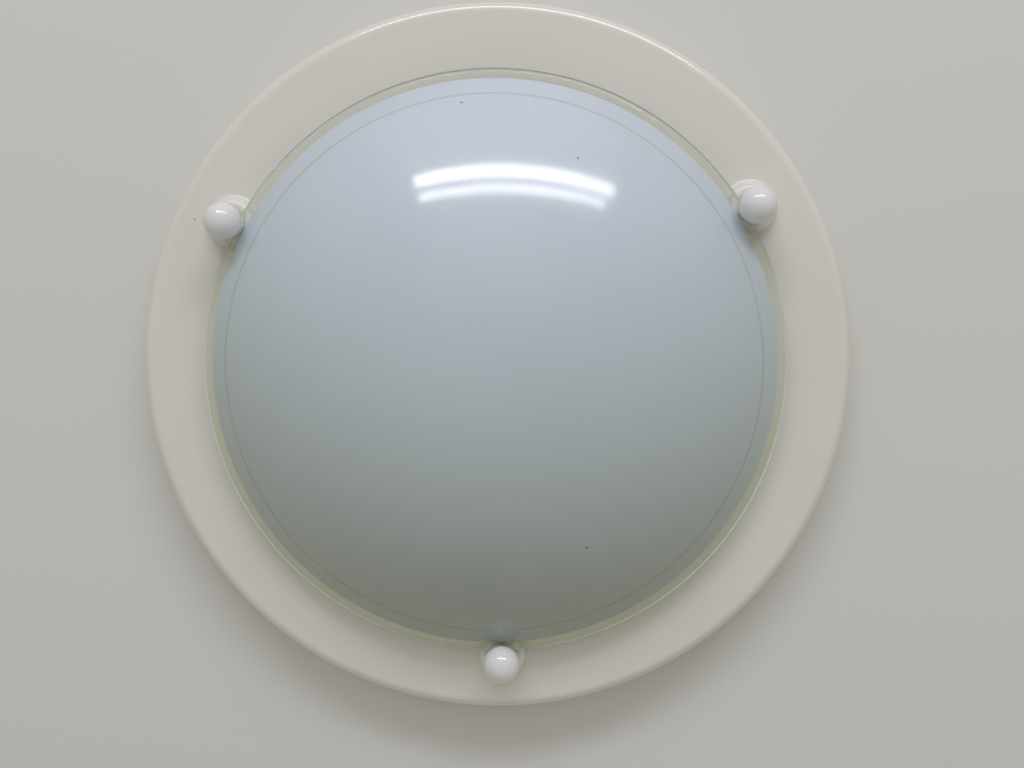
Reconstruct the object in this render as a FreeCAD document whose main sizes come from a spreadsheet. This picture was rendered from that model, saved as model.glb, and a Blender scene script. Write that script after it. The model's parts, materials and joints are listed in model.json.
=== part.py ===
import FreeCAD, Part
import math
import os
import Sketcher

# Flush mount ceiling light: a wide round pan, a slumped glass shade held by three
# ball knobs, and two lamps lying side by side inside.
#
# Millimetres. The ceiling is the plane z = 0 and the light hangs below it, so every
# piece has negative z. +Y is the way the lamps screw in, and one of the three studs
# is at -Y. "Height" means the distance out from the pan's flat ring, away from the
# ceiling.

SIZES = {
    # pan, pressed from one steel sheet
    "pan_radius": 203.2,        # 16 in across
    "pan_depth": 28.0,          # ceiling to the flat ring
    "pan_sheet": 1.0,           # steel thickness
    "rim_round": 6.5,           # outer rounding of the rim
    "hem_height": 7.0,          # the back edge is folded inwards once
    "well_drop": 6.0,           # ceiling to the floor of the recess that holds the lamps
    "well_round": 4.0,          # rounding at the mouth of the recess
    "well_corner": 3.0,         # rounding where the recess meets its floor
    # embossed bosses that carry the studs
    "rim_land": 11.5,           # flat between the boss's rounding and the rim's
    "well_land": 3.2,           # flat between the boss's rounding and the recess's
    "boss_height": 8.0,
    "boss_foot": 15.0,          # radius where the boss leaves the flat ring
    "boss_top": 12.8,           # radius at its top, before rounding
    "boss_round": 3.0,
    "boss_foot_round": 2.5,
    # studs, No. 8-32
    "stud_radius": 2.08,
    "stud_reach": 9.95,         # length of stud inside its knob
    "stud_head_radius": 5.0,
    "stud_head": 1.5,
    "stud_chamfer": 0.5,
    "thread_clearance": 0.05,   # radial, round every screwed piece
    # glass shade
    "glass_margin": 2.12,       # between the glass's edge and a stud
    "glass_rise": 65.05,        # outer edge of the rim to the middle of the dome
    "glass_wall": 3.5,
    "glass_edge_round": 0.8,    # ground edge
    "seat_gap": 0.2,            # between the glass and what it sits between
    # rubber cushion under the glass and washer over it
    "cushion_margin": 0.2,      # inside the flat top of the boss
    "cushion_thick": 1.2,
    "washer_radius": 7.0,
    "washer_thick": 1.2,
    "washer_gap": 0.1,          # between the washer and the knob that turns on it
    "hole_clearance": 0.3,      # radial, round a stud that passes through
    # ball knob with its brass insert
    "knob_radius": 10.3,
    "knob_overhang": 0.99,      # its flat base past the washer
    "insert_radius": 3.5,
    "insert_spare": 1.05,       # bore past the end of the stud
    "insert_end": 1.2,
    "insert_gap": 0.05,         # glue line
    # crossbar that fastens to the outlet box
    "bar_end": 6.55,            # middle of a slot to the bar's end
    "bar_width": 25.0,
    "bar_thick": 2.0,
    "bar_corner": 4.0,
    "box_screw_spacing": 88.9,  # 3 1/2 in outlet box
    "box_slot_radius": 2.4,
    "box_slot_length": 9.0,
    "pan_screw_spacing": 69.85, # 2 3/4 in
    # machine screws
    "screw_head_radius": 4.1,
    "screw_head": 2.4,
    "screw_dome_round": 0.8,
    # wire bushing
    "bushing_place": 28.0,      # from the middle of the pan, towards +Y
    "bushing_radius": 6.8,
    "bushing_bore": 5.8,
    "bushing_flange_radius": 9.0,
    "bushing_flange": 1.4,
    "bushing_rise": 2.6,        # stands above the recess floor, on the ceiling side
    "bushing_clearance": 0.1,
    # glass-fibre pad between the recess floor and the ceiling
    "pad_clearance": 7.0,       # between the crossbar's ends and the pad
    "pad_margin": 3.0,          # inside the recess wall
    "pad_gap": 0.4,             # between the pad and the ceiling
    # lampholders
    "lamp_spacing": 84.0,
    "lamp_drop": 50.0,          # ceiling to the lamp axis
    "socket_back": 72.0,        # y of the back of the lampholders
    "socket_wall": 4.75,
    "socket_length": 32.0,
    "socket_floor": 7.0,
    "socket_edge_round": 1.5,
    "shell_clearance": 0.65,    # between the lamp's cap and the screw shell
    "shell_wall": 0.5,
    "shell_inset": 2.0,         # behind the mouth of the lampholder
    "shell_window": 6.0,        # hole in the bottom of the shell
    "contact_radius": 4.0,
    "contact_rise": 2.6,
    "contact_flat": 2.5,
    # brackets that carry the lampholders
    "bracket_width": 16.0,
    "bracket_sheet": 1.2,
    "bracket_foot": 24.0,
    "bracket_below": 12.0,      # plate below the lamp axis
    "bracket_bend": 1.6,
    "bracket_screw_place": 14.0,
    "small_screw_radius": 1.5,
    "small_head_radius": 3.1,
    "small_head": 2.2,
    "small_screw_bite": 5.0,    # length held in the lampholder
    # lamps, A19 with an E26 base
    "bulb_radius": 30.0,
    "bulb_wall": 0.8,
    "neck_gap": 0.05,           # cement between the neck and the cap
    "neck_bite": 2.4,           # length of the neck inside the cap
    "bulb_turn": 35.0,          # degrees from the bulb's equator to its neck curve
    "base_radius": 13.05,
    "base_wall": 0.4,
    "base_length": 24.0,
    "lamp_insulator": 2.0,
    "insulator_radius": 9.5,
    "tip_radius": 4.5,
    "tip_thick": 1.2,
    "tip_gap": 0.3,             # between the lamp's tip and the contact
    # leads
    "lead_radius": 1.1,
    "lead_bend": 6.0,
    "lead_clearance": 0.1,
    "lead_near": 11.0,          # live lead's exit, from the lamp axis towards the middle
    "lead_far": 14.5,           # neutral lead's exit
    "lead_offset": 6.0,         # exits lie this far above and below the lamp axis
    "lead_bite": 4.0,           # length inside the lampholder
    "lead_loop": 12.0,          # loop behind the lampholder
    "lead_rest": 3.5,           # recess floor to the lead's axis
    "live_across": 3.3,         # leads in the bushing, from its middle
    "live_back": -1.5,
    "neutral_across": 1.3,
    "neutral_back": 1.9,
}

STUD_ANGLES = {1: -90.0, 2: 30.0, 3: 150.0}
SIDES = {"a": -1.0, "b": 1.0}
SAME = 1e-4                     # two sizes this near are the same edge
LEFT = "left"
RIGHT = "right"

doc = FreeCAD.newDocument("ceiling_light")
sheet = doc.addObject("Spreadsheet::Sheet", "Sizes")


class Length:
    """A size with the number that the sheet gives and the formula that binds to it."""

    def __init__(self, value, formula):
        self.value = float(value)
        self.formula = formula

    def __add__(self, other):
        other = as_length(other)
        return Length(self.value + other.value, f"({self.formula} + {other.formula})")

    def __sub__(self, other):
        other = as_length(other)
        return Length(self.value - other.value, f"({self.formula} - {other.formula})")

    def __mul__(self, other):
        other = as_length(other)
        return Length(self.value * other.value, f"({self.formula} * {other.formula})")

    def __truediv__(self, other):
        other = as_length(other)
        return Length(self.value / other.value, f"({self.formula} / {other.formula})")

    def __neg__(self):
        return Length(-self.value, f"(0 - {self.formula})")


def as_length(number):
    if isinstance(number, Length):
        return number
    return Length(number, f"({float(number)})")


def root(square):
    return Length(math.sqrt(square.value), f"sqrt({square.formula})")


def cosine(degrees):
    return Length(math.cos(math.radians(degrees.value)), f"cos({degrees.formula} * 1 deg)")


def sine(degrees):
    return Length(math.sin(math.radians(degrees.value)), f"sin({degrees.formula} * 1 deg)")


def fill_sheet():
    for row, (alias, value) in enumerate(SIZES.items(), 1):
        sheet.set(f"A{row}", alias)
        sheet.set(f"B{row}", str(value))
        sheet.setAlias(f"B{row}", alias)
    doc.recompute()


class Dimensions:
    """The cells of the sheet, by alias."""

    def __init__(self):
        for alias in SIZES:
            setattr(self, alias, Length(sheet.get(alias), f"Sizes.{alias}"))


fill_sheet()
size = Dimensions()


# ---- placing and sketching --------------------------------------------------------

HANGING = FreeCAD.Rotation(FreeCAD.Vector(1, 0, 0), 180)   # local Z points down
ALONG_LAMP = FreeCAD.Rotation(FreeCAD.Vector(1, 0, 0), 90)  # local Z points to -Y
UPRIGHT = FreeCAD.Rotation()


def place(item, spot=(0, 0, 0), rotation=UPRIGHT):
    """Puts an object at a spot whose three coordinates stay bound to the sheet."""
    spot = [as_length(coordinate) for coordinate in spot]
    values = [coordinate.value for coordinate in spot]
    item.Placement = FreeCAD.Placement(FreeCAD.Vector(*values), rotation)
    for letter, coordinate in zip("xyz", spot):
        item.setExpression(f"Placement.Base.{letter}", coordinate.formula)


def new_body(name, spot=(0, 0, 0), rotation=UPRIGHT):
    body = doc.addObject("PartDesign::Body", name)
    body.Label = name
    place(body, spot, rotation)
    return body


def origin_feature(body, role):
    for feature in body.Origin.OriginFeatures:
        if feature.Role == role:
            return feature
    raise ValueError(f"{body.Name} has no {role}")


def sketch_on(body, role, name):
    sketch = body.newObject("Sketcher::SketchObject", name)
    sketch.AttachmentSupport = (origin_feature(body, role), [""])
    sketch.MapMode = "FlatFace"
    return sketch


def bind_point(sketch, geometry, point, x, y):
    """Holds a point of the sketch at bound coordinates."""
    for kind, length in (("DistanceX", as_length(x)), ("DistanceY", as_length(y))):
        index = sketch.addConstraint(Sketcher.Constraint(kind, geometry, point, length.value))
        sketch.setExpression(f"Constraints[{index}]", length.formula)


def arc_centre(start, end, radius, side):
    """Centre of the arc under a half circle from start to end."""
    middle = (start + end) / 2
    chord = end - start
    across = math.sqrt(max(radius ** 2 - (chord.Length / 2) ** 2, 0.0))
    normal = FreeCAD.Vector(-chord.y, chord.x, 0).normalize()
    return middle + normal * (across if side == LEFT else -across)


def angle_of(point, centre):
    return math.atan2(point.y - centre.y, point.x - centre.x)


def outline(sketch, corners):
    """A closed outline. A corner is (x, y), or (x, y, radius, side) where an arc leads to
    the next corner with its centre on that side of the way."""
    count = len(corners)
    spots = [
        FreeCAD.Vector(as_length(corner[0]).value, as_length(corner[1]).value, 0)
        for corner in corners
    ]
    ends = []
    for index, corner in enumerate(corners):
        start = spots[index]
        end = spots[(index + 1) % count]
        if len(corner) == 2:
            geometry = sketch.addGeometry(Part.LineSegment(start, end), False)
            ends.append((geometry, 1, 2))
            continue
        radius = as_length(corner[2])
        side = corner[3]
        centre = arc_centre(start, end, radius.value, side)
        circle = Part.Circle(centre, FreeCAD.Vector(0, 0, 1), radius.value)
        if side == LEFT:
            arc = Part.ArcOfCircle(circle, angle_of(start, centre), angle_of(end, centre))
            first, last = 1, 2
        else:
            arc = Part.ArcOfCircle(circle, angle_of(end, centre), angle_of(start, centre))
            first, last = 2, 1
        geometry = sketch.addGeometry(arc, False)
        index_radius = sketch.addConstraint(Sketcher.Constraint("Radius", geometry, radius.value))
        sketch.setExpression(f"Constraints[{index_radius}]", radius.formula)
        ends.append((geometry, first, last))
    for index, corner in enumerate(corners):
        geometry, first, _ = ends[index]
        before, _, before_last = ends[index - 1]
        sketch.addConstraint(
            Sketcher.Constraint("Coincident", before, before_last, geometry, first)
        )
        bind_point(sketch, geometry, first, corner[0], corner[1])


def revolve(body, corners, name="profile"):
    """Turns an outline in the body's XZ plane round its Z axis."""
    sketch = sketch_on(body, "XZ_Plane", f"{body.Name}_{name}")
    outline(sketch, corners)
    turned = body.newObject("PartDesign::Revolution", f"{body.Name}_turned")
    turned.Profile = sketch
    turned.ReferenceAxis = (sketch, ["V_Axis"])
    turned.Angle = 360
    return turned


def turned_part(name, corners, spot=(0, 0, 0), rotation=UPRIGHT):
    body = new_body(name, spot, rotation)
    revolve(body, corners)
    return body


def pad(body, role, corners, length, midplane=False, name="outline"):
    sketch = sketch_on(body, role, f"{body.Name}_{name}")
    outline(sketch, corners)
    feature = body.newObject("PartDesign::Pad", f"{body.Name}_pad")
    feature.Profile = sketch
    feature.setExpression("Length", as_length(length).formula)
    feature.Midplane = midplane
    return feature


def bore(body, radius, length, spot, rotation=UPRIGHT, name="bore"):
    """A round hole that starts at a spot and runs along the rotated Z axis."""
    hole = body.newObject("PartDesign::SubtractiveCylinder", f"{body.Name}_{name}")
    hole.setExpression("Radius", as_length(radius).formula)
    hole.setExpression("Height", as_length(length).formula)
    place(hole, spot, rotation)
    return hole


def circle_edges(shape, radius, level):
    """Names of the circular edges with this radius whose centre lies at this z."""
    radius = as_length(radius).value
    level = as_length(level).value
    names = []
    for number, edge in enumerate(shape.Edges, 1):
        if edge.Degenerated or not isinstance(edge.Curve, Part.Circle):
            continue
        curve = edge.Curve
        if abs(curve.Radius - radius) < SAME and abs(curve.Center.z - level) < SAME:
            names.append(f"Edge{number}")
    return names


def round_edges(body, radius, places, name):
    """Rounds circular edges of the body, each given by its radius and level."""
    doc.recompute()
    base = body.Tip
    names = []
    for edge_radius, level in places:
        names += circle_edges(base.Shape, edge_radius, level)
    fillet = body.newObject("PartDesign::Fillet", f"{body.Name}_{name}")
    fillet.Base = (base, names)
    fillet.setExpression("Radius", as_length(radius).formula)
    return fillet


def mirrored_pair(name, one):
    """The piece and its twin across the YZ plane, as two solids of one node."""
    twin = doc.addObject("Part::Mirroring", f"{name}_twin")
    twin.Source = one
    twin.Normal = FreeCAD.Vector(1, 0, 0)
    pair = doc.addObject("Part::Compound", name)
    pair.Label = name
    pair.Links = [one, twin]
    return pair


# ---- pan -----------------------------------------------------------------------------

ring_face = -size.pan_depth
ring_back = ring_face + size.pan_sheet
floor_face = -size.well_drop
floor_back = floor_face + size.pan_sheet
boss_spread = size.boss_foot + size.boss_foot_round
stud_circle = size.pan_radius - size.rim_round - size.rim_land - boss_spread
well_radius = stud_circle - boss_spread - size.well_land - size.well_round
bracket_screw_y = size.socket_back + size.bracket_screw_place


def make_pan():
    """Pressed pan: hemmed rim, flat ring, recess, and three embossed bosses."""
    body = new_body("pan")
    outer = size.pan_radius
    inner = outer - size.pan_sheet
    hem = inner - size.pan_sheet
    well = well_radius
    well_back = well + size.pan_sheet
    revolve(body, [
        (outer, 0),
        (outer, ring_face),
        (well, ring_face),
        (well, floor_face),
        (0, floor_face),
        (0, floor_back),
        (well_back, floor_back),
        (well_back, ring_back),
        (inner, ring_back),
        (inner, -size.hem_height),
        (hem, -size.hem_height),
        (hem, 0),
    ])
    round_edges(body, size.rim_round, [(outer, ring_face)], "rim_front")
    round_edges(body, size.rim_round - size.pan_sheet, [(inner, ring_back)], "rim_back")
    round_edges(body, size.well_round, [(well, ring_face)], "mouth_front")
    round_edges(body, size.well_round - size.pan_sheet, [(well_back, ring_back)], "mouth_back")
    round_edges(body, size.well_corner, [(well, floor_face)], "floor_front")
    round_edges(body, size.well_corner + size.pan_sheet, [(well_back, floor_back)], "floor_back")
    emboss_bosses(body)
    pan_screw_x = size.pan_screw_spacing / 2
    lamp_x = size.lamp_spacing / 2
    for number, side in enumerate(SIDES.values(), 1):
        bore(body, size.stud_radius + size.hole_clearance, size.pan_sheet,
             (pan_screw_x * side, 0, floor_face), name=f"pan_screw_hole_{number}")
        bore(body, size.small_screw_radius + size.thread_clearance, size.pan_sheet,
             (lamp_x * side, bracket_screw_y, floor_face), name=f"bracket_hole_{number}")
    bore(body, size.bushing_radius + size.bushing_clearance, size.pan_sheet,
         (0, size.bushing_place, floor_face), name="wire_hole")
    return body


def emboss_bosses(body):
    """Three hollow bosses, pressed out of the flat ring, each with its stud hole."""
    boss_face = ring_face - size.boss_height
    spot = (0, -stud_circle, boss_face)
    boss = body.newObject("PartDesign::AdditiveCone", "boss_outside")
    boss.setExpression("Radius1", size.boss_top.formula)
    boss.setExpression("Radius2", size.boss_foot.formula)
    boss.setExpression("Height", size.boss_height.formula)
    place(boss, spot)
    hollow = body.newObject("PartDesign::SubtractiveCone", "boss_inside")
    hollow.setExpression("Radius1", (size.boss_top - size.pan_sheet).formula)
    hollow.setExpression("Radius2", (size.boss_foot - size.pan_sheet).formula)
    hollow.setExpression("Height", size.boss_height.formula)
    place(hollow, (0, -stud_circle, boss_face + size.pan_sheet))
    hole = bore(body, size.stud_radius + size.thread_clearance, size.pan_sheet, spot,
                name="stud_hole")
    pattern = body.newObject("PartDesign::PolarPattern", "boss_pattern")
    pattern.Originals = [boss, hollow, hole]
    pattern.Axis = (origin_feature(body, "Z_Axis"), [""])
    pattern.Angle = 360
    pattern.Occurrences = len(STUD_ANGLES)
    body.Tip = pattern
    round_edges(body, size.boss_foot_round, [(size.boss_foot, ring_face)], "boss_foot_front")
    round_edges(body, size.boss_foot_round + size.pan_sheet,
                [(size.boss_foot - size.pan_sheet, ring_back)], "boss_foot_back")
    round_edges(body, size.boss_round, [(size.boss_top, boss_face)], "boss_top_front")
    round_edges(body, size.boss_round - size.pan_sheet,
                [(size.boss_top - size.pan_sheet, boss_face + size.pan_sheet)],
                "boss_top_back")


# ---- what stands on each stud ------------------------------------------------------------

cushion_top = size.boss_height + size.cushion_thick
glass_seat = cushion_top + size.seat_gap
glass_rim_radius = stud_circle - size.stud_radius - size.glass_margin
glass_sphere = (
    glass_rim_radius * glass_rim_radius + size.glass_rise * size.glass_rise
) / (size.glass_rise * 2)
rim_slope = glass_rim_radius / glass_sphere                # sine of the rim's half angle
rim_across = root(as_length(1) - rim_slope * rim_slope)    # its cosine
glass_inside = glass_sphere - size.glass_wall
glass_centre = glass_seat - glass_inside * rim_across
glass_rim_height = glass_centre + glass_sphere * rim_across
washer_reach = stud_circle - size.washer_radius       # its edge over the glass
glass_under_washer = glass_centre + root(
    glass_sphere * glass_sphere - washer_reach * washer_reach)
washer_height = glass_under_washer + size.seat_gap
knob_seat = washer_height + size.washer_thick + size.washer_gap
knob_base_radius = size.washer_radius + size.knob_overhang
knob_base = root(size.knob_radius * size.knob_radius - knob_base_radius * knob_base_radius)
stud_tip = knob_seat + size.stud_reach
bore_end = stud_tip + size.insert_spare
insert_end = bore_end + size.insert_end
cushion_radius = size.boss_top - size.boss_round - size.cushion_margin


def stud_spot(number):
    """Foot of a stud on the flat ring's face."""
    angle = as_length(STUD_ANGLES[number])
    return (stud_circle * cosine(angle), stud_circle * sine(angle), ring_face)


def make_stud(number):
    """Threaded stud, its head clinched behind the boss."""
    head_top = size.boss_height - size.pan_sheet
    chamfer = size.stud_chamfer
    return turned_part(f"stud_{number}", [
        (0, head_top - size.stud_head),
        (size.stud_head_radius, head_top - size.stud_head),
        (size.stud_head_radius, head_top),
        (size.stud_radius, head_top),
        (size.stud_radius, stud_tip - chamfer),
        (size.stud_radius - chamfer, stud_tip),
        (0, stud_tip),
    ], stud_spot(number), HANGING)


def make_ring(name, bottom, thickness, radius, number):
    """Flat ring round a stud."""
    hole = size.stud_radius + size.hole_clearance
    return turned_part(name, [
        (hole, bottom),
        (radius, bottom),
        (radius, bottom + thickness),
        (hole, bottom + thickness),
    ], stud_spot(number), HANGING)


def make_knob(number):
    """Ball knob with a flat base and a pocket for its insert."""
    radius = size.knob_radius
    pocket = size.insert_radius + size.insert_gap
    pocket_end = insert_end + size.insert_gap
    return turned_part(f"knob_{number}", [
        (pocket, knob_seat),
        (knob_base_radius, knob_seat, radius, LEFT),
        (0, knob_seat + knob_base + radius),
        (0, pocket_end),
        (pocket, pocket_end),
    ], stud_spot(number), HANGING)


def make_insert(number):
    """Brass thread insert, closed at its far end."""
    thread = size.stud_radius + size.thread_clearance
    return turned_part(f"knob_insert_{number}", [
        (thread, knob_seat),
        (size.insert_radius, knob_seat),
        (size.insert_radius, insert_end),
        (0, insert_end),
        (0, bore_end),
        (thread, bore_end),
    ], stud_spot(number), HANGING)


def make_glass():
    """Spherical shade, its edge cut square to the sheet and ground round."""
    apex = glass_centre + glass_sphere
    body = turned_part("glass_shade", [
        (glass_rim_radius, glass_rim_height, glass_sphere, LEFT),
        (0, apex),
        (0, apex - size.glass_wall, glass_inside, RIGHT),
        (glass_inside * rim_slope, glass_seat),
    ], (0, 0, ring_face), HANGING)
    round_edges(body, size.glass_edge_round, [
        (glass_rim_radius, glass_rim_height),
        (glass_inside * rim_slope, glass_seat),
    ], "ground_edge")
    return body


# ---- fixing to the ceiling ------------------------------------------------------------------

bar_half_length = size.box_screw_spacing / 2 + size.bar_end


def cut_slot(body, x, number):
    """Slot along X for an outlet box's screw."""
    half = size.box_slot_length / 2 - size.box_slot_radius
    radius = size.box_slot_radius
    middle = body.newObject("PartDesign::SubtractiveBox", f"box_slot_{number}")
    middle.setExpression("Length", (half * 2).formula)
    middle.setExpression("Width", (radius * 2).formula)
    middle.setExpression("Height", size.bar_thick.formula)
    place(middle, (x - half, -radius, 0))
    for end, shift in (("start", -half), ("end", half)):
        bore(body, radius, size.bar_thick, (x + shift, 0, 0), name=f"box_slot_{number}_{end}")


def make_crossbar():
    """Flat bar with slots for the outlet box's screws and tapped holes for the pan's."""
    body = new_body("crossbar", (0, 0, -size.bar_thick))
    half_length = bar_half_length
    half_width = size.bar_width / 2
    corner = size.bar_corner
    pad(body, "XY_Plane", [
        (corner - half_length, -half_width),
        (half_length - corner, -half_width, corner, LEFT),
        (half_length, corner - half_width),
        (half_length, half_width - corner, corner, LEFT),
        (half_length - corner, half_width),
        (corner - half_length, half_width, corner, LEFT),
        (-half_length, half_width - corner),
        (-half_length, corner - half_width, corner, LEFT),
    ], size.bar_thick)
    for number, side in enumerate(SIDES.values(), 1):
        cut_slot(body, size.box_screw_spacing / 2 * side, number)
        bore(body, size.stud_radius + size.thread_clearance, size.bar_thick,
             (size.pan_screw_spacing / 2 * side, 0, 0), name=f"tapped_hole_{number}")
    bore(body, size.stud_radius + size.thread_clearance, size.bar_thick,
         (0, 0, 0), name="ground_hole")
    return body


def make_screw(name, spot, radius, reach, head_radius, head, rotation=UPRIGHT):
    """Pan-head screw: its shank points along local Z and its head's face is at the spot."""
    body = turned_part(name, [
        (0, -head),
        (head_radius, -head),
        (head_radius, 0),
        (radius, 0),
        (radius, reach),
        (0, reach),
    ], spot, rotation)
    round_edges(body, size.screw_dome_round, [(head_radius, -head)], "dome")
    return body


def make_bushing():
    """Snap bushing that lines the wire hole."""
    return turned_part("wire_bushing", [
        (size.bushing_bore, -size.bushing_flange),
        (size.bushing_flange_radius, -size.bushing_flange),
        (size.bushing_flange_radius, 0),
        (size.bushing_radius, 0),
        (size.bushing_radius, size.pan_sheet + size.bushing_rise),
        (size.bushing_bore, size.pan_sheet + size.bushing_rise),
    ], (0, size.bushing_place, floor_face))


def make_pad():
    """Glass-fibre heat pad, a flat ring round the outlet box."""
    inner = bar_half_length + size.pad_clearance
    outer = well_radius - size.pad_margin
    thickness = size.well_drop - size.pan_sheet - size.pad_gap
    return turned_part("insulation_pad", [
        (inner, 0),
        (outer, 0),
        (outer, thickness),
        (inner, thickness),
    ], (0, 0, floor_back))


# ---- lampholders and lamps ---------------------------------------------------------------------

shell_bore = size.base_radius + size.shell_clearance
shell_outer = shell_bore + size.shell_wall
socket_bore = shell_outer + size.insert_gap
socket_radius = socket_bore + size.socket_wall
neck_radius = size.base_radius - size.base_wall - size.neck_gap
contact_top = size.socket_floor + size.contact_rise
lamp_tip = contact_top + size.tip_gap
base_start = lamp_tip + size.tip_thick + size.lamp_insulator


def lamp_spot(side):
    """Back of a lampholder, on the lamp's axis. Local Z runs along the lamp from here."""
    return (size.lamp_spacing / 2 * side, size.socket_back, -size.lamp_drop)


def make_bracket(letter, side):
    """Bent steel strip: its foot lies on the recess floor, its plate holds the lampholder."""
    body = new_body(f"socket_bracket_{letter}", (size.lamp_spacing / 2 * side, 0, 0))
    front = size.socket_back
    back = front + size.bracket_sheet
    foot_face = floor_face - size.bracket_sheet
    bend = size.bracket_bend
    inside = bend - size.bracket_sheet / 2
    lowest = -size.lamp_drop - size.bracket_below
    pad(body, "YZ_Plane", [
        (front, lowest),
        (back, lowest),
        (back, foot_face - inside, inside, RIGHT),
        (back + inside, foot_face),
        (front + size.bracket_foot, foot_face),
        (front + size.bracket_foot, floor_face),
        (back + inside, floor_face, inside + size.bracket_sheet, LEFT),
        (front, foot_face - inside),
    ], size.bracket_width, midplane=True)
    hole = size.small_screw_radius + size.hole_clearance
    bore(body, hole, size.bracket_sheet, (0, bracket_screw_y, foot_face), name="foot_hole")
    bore(body, hole, size.bracket_sheet, (0, back, -size.lamp_drop), ALONG_LAMP,
         name="plate_hole")
    return body


def make_socket_body(letter, side):
    """Porcelain cup with a round bore, a screw hole and two lead holes in its back."""
    body = turned_part(f"socket_body_{letter}", [
        (0, 0),
        (socket_radius, 0),
        (socket_radius, size.socket_length),
        (socket_bore, size.socket_length),
        (socket_bore, size.socket_floor),
        (0, size.socket_floor),
    ], lamp_spot(side), ALONG_LAMP)
    round_edges(body, size.socket_edge_round, [
        (socket_radius, 0),
        (socket_radius, size.socket_length),
    ], "edges")
    bore(body, size.small_screw_radius + size.thread_clearance, size.small_screw_bite,
         (0, 0, 0), name="screw_hole")
    hole = size.lead_radius + size.lead_clearance
    bore(body, hole, size.lead_bite, (-size.lead_near * side, size.lead_offset, 0),
         name="live_hole")
    bore(body, hole, size.lead_bite, (-size.lead_far * side, -size.lead_offset, 0),
         name="neutral_hole")
    return body


def make_socket_shell(letter, side):
    """Thin brass screw shell that lines the lampholder."""
    bottom = size.socket_floor
    mouth = size.socket_length - size.shell_inset
    return turned_part(f"socket_shell_{letter}", [
        (size.shell_window, bottom),
        (shell_outer, bottom),
        (shell_outer, mouth),
        (shell_bore, mouth),
        (shell_bore, bottom + size.shell_wall),
        (size.shell_window, bottom + size.shell_wall),
    ], lamp_spot(side), ALONG_LAMP)


def make_contact(letter, side):
    """Centre contact."""
    return turned_part(f"socket_contact_{letter}", [
        (0, size.socket_floor),
        (size.contact_radius, size.socket_floor),
        (size.contact_radius, size.socket_floor + size.contact_rise / 2),
        (size.contact_flat, contact_top),
        (0, contact_top),
    ], lamp_spot(side), ALONG_LAMP)


def make_lamp_envelope(letter, side):
    """Blown glass bulb: a ball that runs into its neck through a hollow curve."""
    ball = size.bulb_radius
    wall = size.bulb_wall
    turn = size.bulb_turn
    hollow = (ball * cosine(turn) - neck_radius) / (as_length(1) - cosine(turn))
    neck_start = base_start + size.base_length - size.neck_bite
    centre = neck_start + (ball + hollow) * sine(turn)
    end = centre + ball
    inner_ball = ball - wall
    return turned_part(f"lamp_envelope_{letter}", [
        (neck_radius, neck_start, hollow, RIGHT),
        (ball * cosine(turn), centre - ball * sine(turn), ball, LEFT),
        (0, end),
        (0, end - wall, inner_ball, RIGHT),
        (inner_ball * cosine(turn), centre - inner_ball * sine(turn), hollow + wall, LEFT),
        (neck_radius - wall, neck_start),
    ], lamp_spot(side), ALONG_LAMP)


def make_lamp_base(letter, side):
    """Metal screw cap of the lamp, open round the insulator."""
    inner = size.base_radius - size.base_wall
    end = base_start + size.base_length
    return turned_part(f"lamp_base_{letter}", [
        (size.insulator_radius, base_start),
        (size.base_radius, base_start),
        (size.base_radius, end),
        (inner, end),
        (inner, base_start + size.base_wall),
        (size.insulator_radius, base_start + size.base_wall),
    ], lamp_spot(side), ALONG_LAMP)


def make_lamp_insulator(letter, side):
    """Glass button between the cap and the tip."""
    start = base_start - size.lamp_insulator
    return turned_part(f"lamp_insulator_{letter}", [
        (0, start),
        (size.tip_radius, start),
        (size.insulator_radius, base_start),
        (size.insulator_radius, base_start + size.base_wall),
        (0, base_start + size.base_wall),
    ], lamp_spot(side), ALONG_LAMP)


def make_lamp_tip(letter, side):
    """Centre contact of the lamp."""
    return turned_part(f"lamp_tip_{letter}", [
        (0, lamp_tip),
        (size.contact_flat, lamp_tip),
        (size.tip_radius, lamp_tip + size.tip_thick / 2),
        (size.tip_radius, lamp_tip + size.tip_thick),
        (0, lamp_tip + size.tip_thick),
    ], lamp_spot(side), ALONG_LAMP)


# ---- leads ------------------------------------------------------------------------------------

def tube(name, points, radius, bend):
    """A round tube along straight runs that are joined by tangent arcs."""
    edges = []
    start = points[0]
    for before, corner, after in zip(points, points[1:], points[2:]):
        back = (before - corner).normalize()
        forward = (after - corner).normalize()
        half_angle = back.getAngle(forward) / 2
        reach = bend / math.tan(half_angle)
        inward = (back + forward).normalize()
        middle = corner + inward * (bend / math.sin(half_angle) - bend)
        arc_start = corner + back * reach
        arc_end = corner + forward * reach
        edges.append(Part.LineSegment(start, arc_start).toShape())
        edges.append(Part.Arc(arc_start, middle, arc_end).toShape())
        start = arc_end
    edges.append(Part.LineSegment(start, points[-1]).toShape())
    path = Part.Wire(edges)
    section = Part.Wire(Part.makeCircle(radius, points[0], points[1] - points[0]))
    solid = path.makePipeShell([section], True, False)
    expected = math.pi * radius ** 2 * path.Length
    if abs(solid.Volume - expected) > 0.01 * expected:
        raise ValueError(f"{name} does not have the volume of its tube")
    item = doc.addObject("Part::Feature", name)
    item.Label = name
    item.Shape = solid
    return item


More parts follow.
